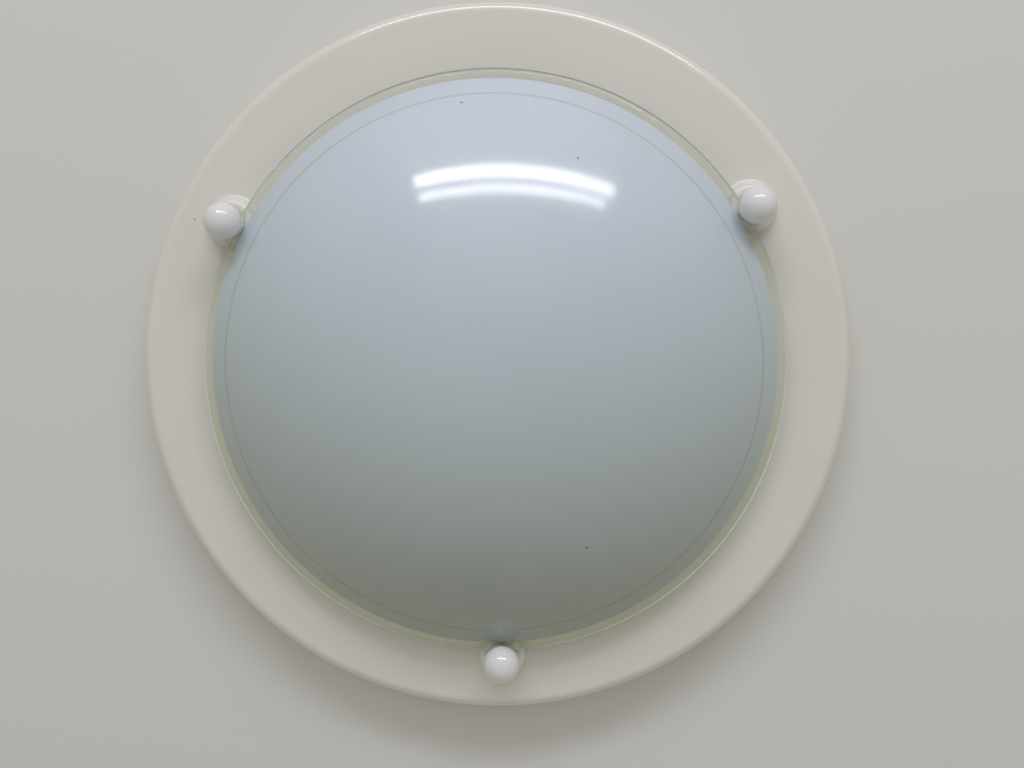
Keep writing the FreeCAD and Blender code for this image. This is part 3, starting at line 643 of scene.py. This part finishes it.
def makeBackdrop():
    # a pale ceiling; from above, and for soft light, it isn't there
    deselectAll()
    bpy.ops.mesh.primitive_plane_add(size=backdrop["across"], location=(0, 0, backdrop["height"]))
    settlePlace()
    sheet = bpy.context.active_object
    sheet.name = "backdrop"
    flipFaces()
    material, tree, shader = newMaterial("backdrop")
    shader.inputs["Base Color"].default_value = (*backdrop["colour"], 1)
    shader.inputs["Roughness"].default_value = 0.9
    clear = addNode(tree, "ShaderNodeBsdfTransparent")
    geometry = addNode(tree, "ShaderNodeNewGeometry")
    path = addNode(tree, "ShaderNodeLightPath")
    mix = addNode(tree, "ShaderNodeMixShader")
    gone = geometry.outputs["Backfacing"]
    for ray in ("Is Shadow Ray", "Is Diffuse Ray", "Is Glossy Ray"):
        either = addNode(tree, "ShaderNodeMath", operation="MAXIMUM")
        tree.links.new(gone, either.inputs[0])
        tree.links.new(path.outputs[ray], either.inputs[1])
        gone = either.outputs[0]
    tree.links.new(gone, mix.inputs["Fac"])
    tree.links.new(shader.outputs["BSDF"], mix.inputs[1])
    tree.links.new(clear.outputs["BSDF"], mix.inputs[2])
    tree.links.new(mix.outputs["Shader"], tree.nodes["Material Output"].inputs["Surface"])
    sheet.data.materials.append(material)


makeLights()
makeWorld()
makeBackdrop()
bpy.context.scene.view_settings.view_transform = "Standard"
print("camera, lights and backdrop made")


# studs come first because the bosses are placed by them

studs = {
    "circle": 167.7, "radius": 2.07, "headRadius": 5.0, "headBack": -33.5, "headFront": -35.0,
    "core": 1.75, "threadEnd": -36.3, "tip": -54.0, "tipRadius": 1.3, "point": 0.45,
    "runOut": 0.3, "headFrontRound": 0.2, "headBackRound": 0.5, "sides": 32,
    "thread": {"root": 1.72, "crest": 2.08, "flat": 0.06, "slope": 0.29, "pitch": 0.79375,
               "turns": 21, "steps": 20},
}


def makeStuds():
    x, y, _ = studSpot(1)
    threadStart = studs["tip"] + studs["point"]
    line = roundCorners([
        (0, studs["tip"]),
        (studs["tipRadius"], studs["tip"]),
        (studs["core"], threadStart),
        (studs["core"], studs["threadEnd"] - studs["runOut"]),
        (studs["radius"], studs["threadEnd"]),
        (studs["radius"], studs["headFront"]),
        (studs["headRadius"], studs["headFront"], studs["headFrontRound"]),
        (studs["headRadius"], studs["headBack"], studs["headBackRound"]),
        (0, studs["headBack"]),
    ], 3)
    core = turnPiece("studCore", line, studs["sides"], at=studSpot(1))
    wind = threadPiece("studThread", studs["thread"], (x, y, threadStart))
    stud = joinPieces("threaded_stud_1", [core, wind])
    for number, piece in aroundStuds(stud).items():
        place(piece, "root", "zinc_steel", f"stud_{number}")


# pan: rim, recess and bosses are turned, flat sheet joins them, then it gets its thickness

pan = {
    "radius": 203.2, "face": -28.0, "sheet": 0.97, "rimRound": 6.5, "hemHeight": 7.0,
    "hemRound": 0.931, "hemFold": 1.9, "wellRadius": 143.0, "wellRound": 4.0, "wellFloor": -6.0,
    "wellCorner": 3.0, "margin": 0.9, "bossFoot": 15.0, "bossTop": 12.8, "bossHeight": 8.0,
    "bossFootRound": 2.5, "bossRound": 3.0, "bossMargin": 1.3, "bossMiddle": 4.0,
    "wireHole": (0, 28, 6.9), "holeMargin": 0.6, "sides": 192, "bossSides": 72,
}


def makeRim():
    outer, face, fold = pan["radius"], pan["face"], pan["radius"] - pan["hemFold"]
    line = roundCorners([
        (fold, -pan["hemHeight"]),
        (fold, 0, pan["hemRound"]),
        (outer, 0, pan["hemRound"]),
        (outer, face, pan["rimRound"]),
        (outer - pan["rimRound"] - pan["margin"], face),
    ], 10)
    return turnPiece("panRim", line, pan["sides"], tidy=False)


def makeWell():
    mouth = pan["wellRadius"] + pan["wellRound"] + pan["margin"]
    line = roundCorners([
        (mouth, pan["face"]),
        (pan["wellRadius"], pan["face"], pan["wellRound"]),
        (pan["wellRadius"], pan["wellFloor"], pan["wellCorner"]),
        (pan["wellRadius"] - pan["wellCorner"] - pan["margin"], pan["wellFloor"]),
    ], 10)
    return turnPiece("panWell", line, pan["sides"], tidy=False)


def makeBosses():
    face = pan["face"]
    line = roundCorners([
        (pan["bossFoot"] + pan["bossFootRound"] + pan["bossMargin"], face),
        (pan["bossFoot"], face, pan["bossFootRound"]),
        (pan["bossTop"], face - pan["bossHeight"], pan["bossRound"]),
        (pan["bossMiddle"], face - pan["bossHeight"]),
        (0, face - pan["bossHeight"]),
    ], 8)
    boss = turnPiece("panBoss_1", line, pan["bossSides"], at=studSpot(1), tidy=False)
    return list(aroundStuds(boss).values())


def fillSheet(piece, height, hole=None):
    # flat sheet between the open rims at one height, but not inside the hole (x, y, radius)
    def wanted(spot):
        level = abs(spot.z - height) < 0.01
        return level and (hole is None or math.hypot(spot.x - hole[0], spot.y - hole[1]) > hole[2])
    selectRims(piece, wanted)
    bpy.ops.mesh.fill(use_beauty=True)


def makePan():
    x, y, hole = pan["wireHole"]
    floor, margin = pan["wellFloor"], pan["holeMargin"]
    wire = turnPiece("panWireHole", [(hole, floor), (hole + margin, floor)], 48,
                     at=(x, y, 0), tidy=False)
    shell = joinPieces("pan_shell", [makeRim(), makeWell(), wire] + makeBosses())
    editMode(True)
    bpy.ops.mesh.select_mode(type="EDGE")
    fillSheet(shell, pan["face"])
    fillSheet(shell, floor, (x, y, hole + margin / 2))
    closeMesh()
    bpy.ops.mesh.select_mode(type="VERT")
    editMode(False)
    flat = max(shell.data.polygons, key=lambda p: p.area)
    if flat.normal.z > 0:
        flipFaces()
    applyModifier(shell, "SOLIDIFY", thickness=pan["sheet"] * mm, offset=-1,
                  use_even_offset=True, use_quality_normals=True)
    bpy.ops.object.shade_smooth_by_angle(angle=math.radians(32))
    place(shell, "root", "pan_enamel", "pan")


makePan()
print("pan made")


# glass shade: clear slumped sheet, and the frosting on its inside

shade = {
    "sphere": 237.99, "centre": 133.0, "wall": 3.49, "rim": 163.5, "rimInside": 161.1,
    "edgeRound": 0.8, "edgeReach": 0.75, "frostEdge": 155.7, "lineOut": 146.9, "lineIn": 145.7,
    "frostSunk": 0.12, "frostThick": 0.24, "sides": 192,
}


def shadeAngle(radius, sphere):
    # degrees below the rim's plane, at which the sphere has that radius
    return -math.degrees(math.acos(radius / sphere))


def shadeArc(sphere, stops):
    # points on a sphere about the shade's centre, from one (radius, steps) to the next
    line = []
    for (here, _), (there, steps) in zip(stops, stops[1:]):
        line += arcLine((0, shade["centre"]), sphere, shadeAngle(here, sphere),
                        shadeAngle(there, sphere), steps)[bool(line):]
    return line


def makeShade():
    outer, inner = shade["sphere"], shade["sphere"] - shade["wall"]
    rim, rimInside, reach = shade["rim"], shade["rimInside"], shade["edgeReach"]
    outside = shadeArc(outer, [(0, 0), (rim - reach, 40)])
    inside = shadeArc(inner, [(rimInside - reach, 0), (0, 40)])
    corner = shadeArc(outer, [(rim, 0), (0, 1)])[0]
    innerCorner = shadeArc(inner, [(rimInside, 0), (0, 1)])[0]
    edge = roundCorners([outside[-1], (*corner, shade["edgeRound"]),
                         (*innerCorner, shade["edgeRound"]), inside[0]], 5)[1:-1]
    line = outside[:-1] + edge + inside[1:]
    glass = turnPiece("shade_glass", line, shade["sides"], angle=60)
    place(glass, "shade", "shade_glass", "glass_shade")
    glass.data.materials.append(materials["ground_glass_edge"])
    for face in glass.data.polygons:
        # faces that look outwards and up are the edge, which is ground, not polished
        outwards = face.center.xy.normalized().dot(face.normal.xy)
        if outwards > 0.3 and face.normal.z > 0.1:
            face.material_index = 1


def makeFrosting():
    # one skin just inside the glass, unbroken; a narrow ring in it is painted darker, painted shade
    # standing for the unlit inside seen through a clear pinstripe
    front = shade["sphere"] - shade["wall"] + shade["frostSunk"]
    edge, lineOut, lineIn = shade["frostEdge"], shade["lineOut"], shade["lineIn"]
    line = shadeArc(front, [(0, 0), (lineIn, 36), (lineOut, 1), (edge, 4)])
    line += shadeArc(front - shade["frostThick"], [(edge, 0), (lineOut, 4), (lineIn, 1), (0, 36)])
    skin = turnPiece("frosting", line, shade["sides"])
    place(skin, "shade", "shade_glass", finish="shade_frosting")
    skin.data.materials.append(materials["thin_frosting"])
    # the ring's faces take the darker painted shade in place of a see-through line
    for face in skin.data.polygons:
        if lineIn < face.center.xy.length / mm < lineOut:
            face.material_index = 1


makeShade()
makeFrosting()
print("glass shade made")


# ball knobs

knobs = {
    "radius": 10.3, "base": -44.05, "centre": -50.55, "baseRadius": 7.99, "baseRound": 0.6,
    "baseInset": 0.1, "neckAngle": 4, "boreRadius": 3.55, "boreEnd": -56.3, "boreBevel": 0.3,
    "sides": 96,
}


def makeKnobs():
    base, bore, bevel = knobs["base"], knobs["boreRadius"], knobs["boreBevel"]
    start = math.degrees(math.asin((base - knobs["centre"]) / knobs["radius"]))
    ball = arcLine((0, knobs["centre"]), knobs["radius"], start - knobs["neckAngle"], -90, 40)
    line = [(0, knobs["boreEnd"]), (bore, knobs["boreEnd"]), (bore, base - bevel),
            (bore + bevel, base)]
    baseEdge = (knobs["baseRadius"] - knobs["baseInset"], base, knobs["baseRound"])
    line += roundCorners([line[-1], baseEdge, ball[0]], 4)[1:]
    line += ball[1:]
    knob = turnPiece("knob_ball_1", line, knobs["sides"], at=studSpot(1), angle=50)
    for number, piece in aroundStuds(knob).items():
        place(piece, f"knob_{number}", "knob_enamel", f"knob_{number}")


makeStuds()
makeKnobs()
print("knobs and studs made")


# machine screws: turned heads with a driver slot, and a thread wound round the shank

screws = {
    "large": {"head": 4.1, "rise": 2.4, "dome": 1.1, "shank": 2.05, "core": 1.75, "slot": 0.9,
              "plain": 0.35,
              "thread": {"root": 1.72, "crest": 2.05, "flat": 0.06, "slope": 0.29,
                         "pitch": 0.79375, "steps": 18}},
    "small": {"head": 3.1, "rise": 2.2, "dome": 1.0, "shank": 1.48, "core": 1.22, "slot": 0.8,
              "plain": 0.35,
              "thread": {"root": 1.2, "crest": 1.48, "flat": 0.05, "slope": 0.25,
                         "pitch": 0.6, "steps": 18}},
}
screwEnd = {"point": 0.3, "runOut": 0.05}
driverSlot = {"depth": 0.45, "length": 2.4}     # shares of the head's rise and radius
screwPlaces = {"panX": -34.925, "bracket": (-42, 86), "bracketSheet": 1.2, "socketTab": 73.2}


def makeScrew(name, kind, spot, reach, along="Z", side=-1):
    # spot is under its head, which lies towards side on the axis; the shank goes the other way
    size = screws[kind]
    line = roundCorners([
        (0, size["rise"] * side),
        (size["head"], size["rise"] * side, size["dome"]),
        (size["head"], 0),
        (size["shank"], 0),
        (size["shank"], -size["plain"] / 2 * side),
        (size["core"], -size["plain"] * side),
        (size["core"], -(reach - screwEnd["point"]) * side),
        (size["core"] - screwEnd["point"], -reach * side),
        (0, -reach * side),
    ], 4)
    body = turnPiece(name + "Body", line, 40, at=spot, along=along)
    cutSlot(body, size, spot, along, side)
    thread = dict(size["thread"])
    pitches = max(2, int((reach - size["plain"] - screwEnd["runOut"]) / thread["pitch"]))
    thread["turns"] = pitches - 1
    foot = size["plain"] if side < 0 else -size["plain"] - pitches * thread["pitch"]
    wind = threadPiece(name + "Thread", thread, Vector(spot) + axes[along] * foot, along)
    return joinPieces(name, [body, wind])


def cutSlot(body, size, spot, along, side):
    # a driver slot across the head
    depth, length = size["rise"] * driverSlot["depth"], size["head"] * driverSlot["length"]
    centre = Vector(spot) + axes[along] * (size["rise"] * side)
    sizes = (length, depth * 2, size["slot"]) if along == "Y" else (length, size["slot"], depth * 2)
    deselectAll()
    bpy.ops.mesh.primitive_cube_add(size=mm, location=centre * mm, scale=sizes)
    settlePlace()
    cutter = bpy.context.active_object
    applyModifier(body, "BOOLEAN", operation="DIFFERENCE", object=cutter, solver="EXACT")
    bpy.data.objects.remove(cutter)


def makeScrewPair(name, node, kind, spot, reach, along="Z", side=-1):
    first = makeScrew(name + "First", kind, spot, reach, along, side)
    twin = copyPiece(first, name + "Second", shift=(-2 * spot[0], 0, 0))
    place(joinPieces(name, [first, twin]), "root", "zinc_steel", node)


def makeScrews():
    floor, tab = pan["wellFloor"], screwPlaces["socketTab"]
    plate = floor - screwPlaces["bracketSheet"]
    makeScrewPair("pan_screw_pair", "pan_screws", "large", (screwPlaces["panX"], 0, floor),
                  -floor)
    makeScrewPair("bracket_screw_pair", "bracket_screws", "small",
                  (*screwPlaces["bracket"], plate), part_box("bracket_screws")[1].z / mm - plate)
    makeScrewPair("socket_screw_pair", "socket_screws", "small", (lampAxis[0], tab, lampAxis[2]),
                  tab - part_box("socket_screws")[0].y / mm, "Y", 1)
    low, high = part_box("ground_screw")
    middle = (low + high) / 2 / mm
    face = low.z / mm + screws["large"]["rise"]
    ground = makeScrew("ground_screw_head", "large", (middle.x, middle.y, face),
                       high.z / mm - face)
    place(ground, "root", "green_screw", "ground_screw")


makeScrews()
print("screws made")


# lampholders: glazed porcelain cups with rolled brass screw shells

sockets = {
    "mouth": 40.0, "back": 72.0, "radius": 19.0, "endRound": 1.5, "band": 7.0,
    "bandSlope": 1.5, "bandRound": 0.5, "waist": 18.3, "bore": 14.3, "boreRound": 0.7,
    "floor": 65.0, "floorRound": 0.3, "sides": 96,
    "shell": {"root": 13.76, "crest": 14.12, "flat": 0.5, "slope": 1.1, "pitch": 3.629,
              "turns": 5, "steps": 64},
    "shellWall": 0.18, "shellMouth": 42.1, "lipGap": 0.2, "floorGap": 0.1,
    "shellCone": 0.5, "shellBevel": 0.6, "window": 6.0,
}


def makeCups():
    mouth, back, floor = sockets["mouth"], sockets["back"], sockets["floor"]
    radius, waist, bore = sockets["radius"], sockets["waist"], sockets["bore"]
    band, soft = sockets["band"], sockets["bandRound"]
    step = band + sockets["bandSlope"]
    line = roundCorners([
        (0, back),
        (radius, back, sockets["endRound"]),
        (radius, back - band, soft),
        (waist, back - step, soft),
        (waist, mouth + step, soft),
        (radius, mouth + band, soft),
        (radius, mouth, sockets["endRound"]),
        (bore, mouth, sockets["boreRound"]),
        (bore, floor, sockets["floorRound"]),
        (0, floor),
    ], 4)
    cup = turnPiece("porcelain_cup_a", line, sockets["sides"], at=lampAxis, along="Y")
    for letter, piece in onBothSides(cup).items():
        place(piece, "root", "porcelain", f"socket_body_{letter}")


def makeShells():
    shell = sockets["shell"]
    root, crest, bevel = shell["root"], shell["crest"], sockets["shellBevel"]
    lip, floor = sockets["shellMouth"], sockets["floor"] - sockets["floorGap"]
    wind = threadPiece("shellThread", shell,
                       Vector(lampAxis) + axes["Y"] * (lip + sockets["lipGap"]), "Y",
                       closed=False)
    end = lip + (shell["turns"] + 1) * shell["pitch"]
    cupLine = [(root, end), (crest, end + sockets["shellCone"]), (crest, floor - bevel),
               (crest - bevel, floor), (sockets["window"], floor)]
    bottom = turnPiece("shellBottom", cupLine, shell["steps"], at=lampAxis, along="Y",
                       tidy=False)
    first = joinPieces("screw_shell_a", [wind, bottom], 50)
    applyModifier(first, "SOLIDIFY", thickness=sockets["shellWall"] * mm, offset=0)
    for letter, piece in onBothSides(first).items():
        place(piece, "root", "brass", f"socket_shell_{letter}")


makeCups()
makeShells()
print("lampholders made")


# lamps: blown bulbs in rolled screw caps

lamps = {
    "ball": 30.0, "centre": -17.89, "turn": 35.0, "neck": 12.6, "neckEnd": 37.3, "sides": 128,
    "capRadius": 13.05, "capMouth": 35.0, "skirt": 38.9, "capCore": 12.5, "capEnd": 58.85,
    "seat": 0.3, "seatGap": 0.03, "mouthRound": 0.15, "edgeRound": 0.4, "skirtSlope": 0.8,
    "endCone": 3.2, "endRound": 1.0, "endRadius": 9.9, "threadStart": 0.6,
    "capThread": {"root": 12.4, "crest": 13.0, "flat": 0.5, "slope": 1.1, "pitch": 3.629,
                  "turns": 3, "steps": 64},
}


def makeBulbs():
    ball, turn = lamps["ball"], math.radians(lamps["turn"])
    hollow = (ball * math.cos(turn) - lamps["neck"]) / (1 - math.cos(turn))
    neckEnd = lamps["centre"] + (ball + hollow) * math.sin(turn)
    neck = arcLine((lamps["neck"] + hollow, neckEnd), hollow, 180, 180 + lamps["turn"], 14)
    belly = arcLine((0, lamps["centre"]), ball, lamps["turn"], -90, 30)
    line = [(0, neckEnd)] + neck[:-1] + belly
    bulb = turnPiece("bulb_a", line, lamps["sides"], at=lampAxis, along="Y", angle=40)
    for letter, piece in onBothSides(bulb).items():
        place(piece, f"lamp_{letter}", "bulb_glass", f"lamp_envelope_{letter}")


def makeCaps():
    mouth, skirt, end = lamps["capMouth"], lamps["skirt"], lamps["capEnd"]
    radius, core = lamps["capRadius"], lamps["capCore"]
    bore, seat = lamps["neck"] + lamps["seatGap"], lamps["neckEnd"] + lamps["seat"]
    line = roundCorners([
        (0, seat),
        (bore, seat),
        (bore, mouth),
        (radius, mouth, lamps["mouthRound"]),
        (radius, skirt, lamps["edgeRound"]),
        (core, skirt + lamps["skirtSlope"]),
        (core, end - lamps["endCone"], lamps["endRound"]),
        (lamps["endRadius"], end, lamps["edgeRound"]),
        (0, end),
    ], 4)
    cup = turnPiece("capCore", line, lamps["capThread"]["steps"], at=lampAxis, along="Y")
    wind = threadPiece("capThread", lamps["capThread"],
                       Vector(lampAxis) + axes["Y"] * (skirt + lamps["threadStart"]), "Y")
    cap = joinPieces("screw_cap_a", [cup, wind], 50)
    for letter, piece in onBothSides(cap).items():
        place(piece, f"lamp_{letter}", "lamp_cap", f"lamp_base_{letter}")


makeBulbs()
makeCaps()
print("lamps made")


# glass-fibre mat behind the recess: a soft ring with an uneven face and edges

mat = {
    "inner": 58.4, "outer": 139.6, "front": -4.75, "back": -0.65, "round": 1.4,
    "unevenness": 0.44, "lumpSize": 6.0, "sides": 160, "rings": 26,
}


def makeMat():
    inner, outer, soft = mat["inner"], mat["outer"], mat["round"]
    line = roundCorners([(inner, mat["front"], soft), (outer, mat["front"], soft),
                         (outer, mat["back"], soft), (inner, mat["back"], soft)], 4)
    fine = []
    for here, there in zip(line, line[1:] + line[:1]):
        # the two flat faces are cut into rings, so that they can be uneven
        parts = mat["rings"] if abs(there[0] - here[0]) > 20 else 1
        fine += [(here[0] + (there[0] - here[0]) * part / parts,
                  here[1] + (there[1] - here[1]) * part / parts) for part in range(parts)]
    ring = turnPiece("fibre_mat", fine + fine[:1], mat["sides"], angle=80)
    clouds = bpy.data.textures.new("matClouds", "CLOUDS")
    clouds.noise_scale = mat["lumpSize"] * mm
    clouds.noise_depth = 2
    applyModifier(ring, "DISPLACE", texture=clouds, strength=mat["unevenness"] * mm,
                  mid_level=0.5, texture_coords="LOCAL")
    place(ring, "root", "glass_fibre", "insulation_pad")


makeMat()
print("fibre mat made")


def keepNode(name, finish):
    # the CAD node's shape is right, so it only gets its finish
    node = nodes[name]
    for slot in node.material_slots:
        slot.material = materials[finish]


for row in frame["record"]["subparts"]:
    keepNode(row["node"], row["material_slot"])
print("kept nodes painted")
